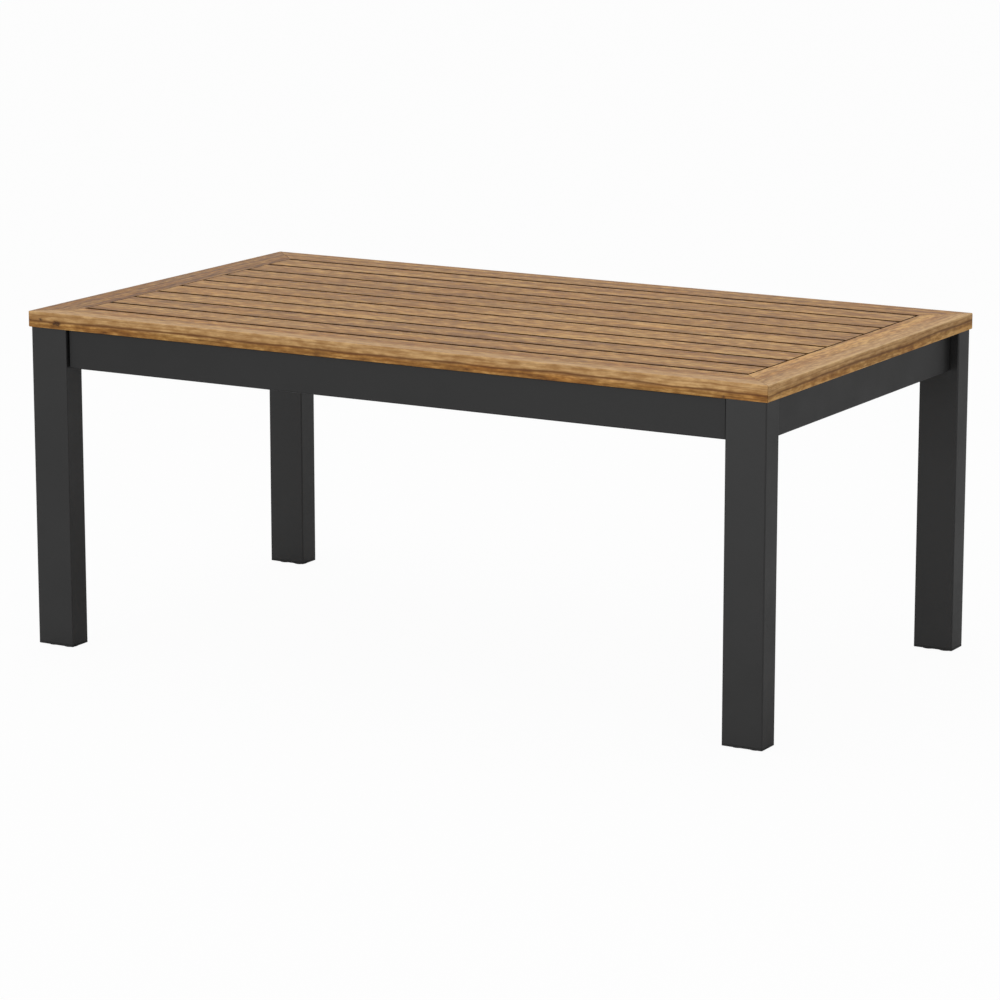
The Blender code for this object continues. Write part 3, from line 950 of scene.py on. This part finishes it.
close_tree(fastener, placed, size["Material"])
print(fastener.name, "has", len(fastener.nodes), "nodes")

# %% [markdown]
# **Bolts.** Each solid bolt tells the tree where to put its better-looking double: its
# box is longest along its axis, and the head is the end that faces the middle of the
# table. The points that carry the fasteners are a mesh of loose vertices, and each one
# stores the way that its fastener faces.

# %% Bolts in their places
BOLT_HEAD_HEIGHT = 3.2 * MM


def point_mesh(name, places):
    """A mesh of loose points, each with the direction that its fastener faces."""
    mesh = bpy.data.meshes.new(name)
    mesh.from_pydata([point for point, _ in places], [], [])
    facing = mesh.attributes.new("facing", "FLOAT_VECTOR", "POINT")
    facing.data.foreach_set("vector", [value for _, way in places for value in way])
    return mesh


def bolt_place(name):
    """Where the head of a solid bolt starts, and the way that it faces."""
    low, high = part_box(name)
    size = high - low
    middle = (low + high) / 2
    axis = max(range(3), key=lambda i: size[i])
    way = Vector((0, 0, 0))
    way[axis] = -1.0 if middle[axis] > 0 else 1.0
    head = middle + way * (size[axis] / 2 - BOLT_HEAD_HEIGHT)
    return head, way


bolt_names = sorted(name for name in nodes if name.startswith("bolt_"))
bolt_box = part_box(bolt_names[0])
bolt_length = max(bolt_box[1] - bolt_box[0])
bolts = run_tree(
    "bracket_bolts",
    fastener,
    {
        "Head Radius": 5.5 * MM,
        "Head Height": BOLT_HEAD_HEIGHT,
        "Shank Radius": 3 * MM,
        "Shank Length": bolt_length - BOLT_HEAD_HEIGHT,
        "Recess Radius": 2.3 * MM,
        "Recess Sides": 6,
        "Seed": 3,
        "Material": zinc,
    },
    point_mesh("bolt_points", [bolt_place(name) for name in bolt_names]),
)
finish_piece(bolts, bolt_names)
print(len(bolt_names), "bolts")

# %% [markdown]
# **Wood screws** have no solid, because there are too many of them. They go up through
# each batten into every slat and both long boards, and through the flanges of the
# brackets into the top. All of them face down, where nobody sees them.

# %% Screws in their places
FLANGE_WIDTH = 18 * MM
PLATE = 3 * MM
FROM_BATTEN_END = 10 * MM

down = Vector((0, 0, -1))
rows = [(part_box(name)[0].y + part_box(name)[1].y) / 2 for name in slat_names]
rows += [(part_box(name)[0].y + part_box(name)[1].y) / 2 for name in ("board_front", "board_back")]
screw_places = []
for name in batten_names:
    low_end, high_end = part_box(name)
    x = (low_end.x + high_end.x) / 2
    reach = high_end.y - FROM_BATTEN_END
    for y in rows:
        screw_places.append((Vector((x, max(-reach, min(reach, y)), low_end.z)), down))

apron_end_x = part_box("apron_front")[1].x
apron_end_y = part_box("apron_right")[1].y
inset = (FLANGE_WIDTH + PLATE / 2) / 2
for name in brackets:
    low_end, high_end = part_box(name)
    side_x = 1 if low_end.x > 0 else -1
    side_y = 1 if low_end.y > 0 else -1
    near_x, far_x = sorted((abs(low_end.x), abs(high_end.x)))
    near_y, far_y = sorted((abs(low_end.y), abs(high_end.y)))
    z = high_end.z - PLATE
    along_x = Vector((side_x * (near_x + apron_end_x) / 2, side_y * (far_y - inset), z))
    along_y = Vector((side_x * (far_x - inset), side_y * (near_y + apron_end_y) / 2, z))
    screw_places += [(along_x, down), (along_y, down)]
screws = run_tree(
    "wood_screws",
    fastener,
    {
        "Head Radius": 4.2 * MM,
        "Head Height": 2.2 * MM,
        "Shank Radius": 1.9 * MM,
        "Shank Length": 14 * MM,
        "Recess Radius": 1.7 * MM,
        "Recess Sides": 4,
        "Seed": 8,
        "Material": zinc,
    },
    point_mesh("screw_points", screw_places),
)
finish_piece(screws)
print(len(screw_places), "screws")

# %% [markdown]
# **The stage** is a white studio cove with a pale floor. The floor glows for the camera
# alone, so it stays white and the shadow under the table almost vanishes, while the
# table gets only the light that a matte floor would give back. From below, the floor is
# clear, so that the underside can be looked at.

# %% The floor
FLOOR_GLOW = 0.96


def make_floor():
    """A wide pale floor that shows from above only."""
    shape = bmesh.new()
    bmesh.ops.create_grid(shape, x_segments=1, y_segments=1, size=40)
    mesh = bpy.data.meshes.new("floor")
    shape.to_mesh(mesh)
    shape.free()
    floor = bpy.data.objects.new("floor", mesh)
    bpy.context.scene.collection.objects.link(floor)
    material, tree, shader = new_material("matte_white_floor")
    matte = {"Base Color": linear("#d2d2d2"), "Roughness": 0.9, "Specular IOR Level": 0.0}
    fill(tree, shader, matte)
    glow = add(tree, "ShaderNodeEmission", {"Color": (1, 1, 1, 1), "Strength": 1.0})
    seen = add(tree, "ShaderNodeLightPath").outputs["Is Camera Ray"]
    share = add(tree, MATH, {0: seen, 1: FLOOR_GLOW}, operation="MULTIPLY")
    lit = add(tree, "ShaderNodeMixShader", {0: share, 1: shader, 2: glow})
    behind = add(tree, "ShaderNodeNewGeometry").outputs["Backfacing"]
    clear = add(tree, "ShaderNodeBsdfTransparent")
    either = add(tree, "ShaderNodeMixShader", {0: behind, 1: lit, 2: clear})
    fill(tree, tree.nodes["Material Output"], {"Surface": either})
    mesh.materials.append(material)


make_floor()
print("floor glows with a share of", FLOOR_GLOW)

# %% [markdown]
# **The light.** A large key light stands to the front left and a smaller one to the
# right, and a wide softbox hangs above. The dark metal shows only what it mirrors, so
# the surroundings decide how the legs look: white on the left, and dimmer towards the
# right. Behind the table, the camera still sees plain white.

# %% Lights and surroundings
# Each light is its name, place, width and power, in metres and watts.
LIGHTS = (
    ("key_light", (-0.9, -3.8, 1.0), 2.0, 22),
    ("right_light", (3.3, -1.7, 0.9), 1.2, 28),
    ("top_light", (0, 0.2, 3.2), 3.0, 20),
)
DIMMEST = 0.3
FULLY_DIM_AT = 0.5


def soft_light(name, place, aim, size, power):
    """A round area light that looks at a point."""
    light = bpy.data.lights.new(name, "AREA")
    light.shape = "DISK"
    light.size = size
    light.energy = power
    obj = bpy.data.objects.new(name, light)
    obj.location = place
    obj.rotation_mode = "QUATERNION"
    obj.rotation_quaternion = (Vector(aim) - Vector(place)).to_track_quat("-Z", "Y")
    bpy.context.scene.collection.objects.link(obj)


middle = (solid_box[0] + solid_box[1]) / 2
for name, place, width, power in LIGHTS:
    soft_light(name, place, middle, width, power)
world = bpy.data.worlds.new("studio")
bpy.context.scene.world = world
world.use_nodes = True
sky = world.node_tree
way = add(sky, "ShaderNodeTexCoord").outputs["Generated"]
right_hand = add(sky, "ShaderNodeSeparateXYZ", {"Vector": way}).outputs["X"]
dim = add(sky, MAP_RANGE, {0: right_hand, 1: 0.0, 2: FULLY_DIM_AT, 3: 1.0, 4: DIMMEST})
looked_at = add(sky, "ShaderNodeLightPath").outputs["Is Camera Ray"]
strength = add(sky, MATH, {0: dim, 1: looked_at}, operation="MAXIMUM")
fill(sky, sky.nodes["Background"], {"Color": (1, 1, 1, 1), "Strength": strength})
print(len(LIGHTS), "lights aimed at", [round(value, 3) for value in middle])

# %% [markdown]
# **The camera** stands well back with a long lens, to the front right and above the
# top, and looks slightly down. From so far off, the edges of the table stay almost
# parallel. The plain display transform keeps white as white.

# %% The camera
CAMERA_PLACE = (2.6345, -4.5603, 1.3340)
CAMERA_DIP = 0.21152
CAMERA_TURN = 0.52382
LENS = 143.84
SENSOR_WIDTH = 36

bpy.context.scene.view_settings.view_transform = "Standard"
camera_data = bpy.data.cameras.new("camera")
camera_data.sensor_width = SENSOR_WIDTH
camera_data.lens = LENS
camera = bpy.data.objects.new("camera", camera_data)
camera.location = CAMERA_PLACE
camera.rotation_euler = (pi / 2 - CAMERA_DIP, 0, CAMERA_TURN)
bpy.context.scene.collection.objects.link(camera)
bpy.context.scene.camera = camera
print("camera", round((Vector(CAMERA_PLACE) - middle).length, 2), "m from the table")
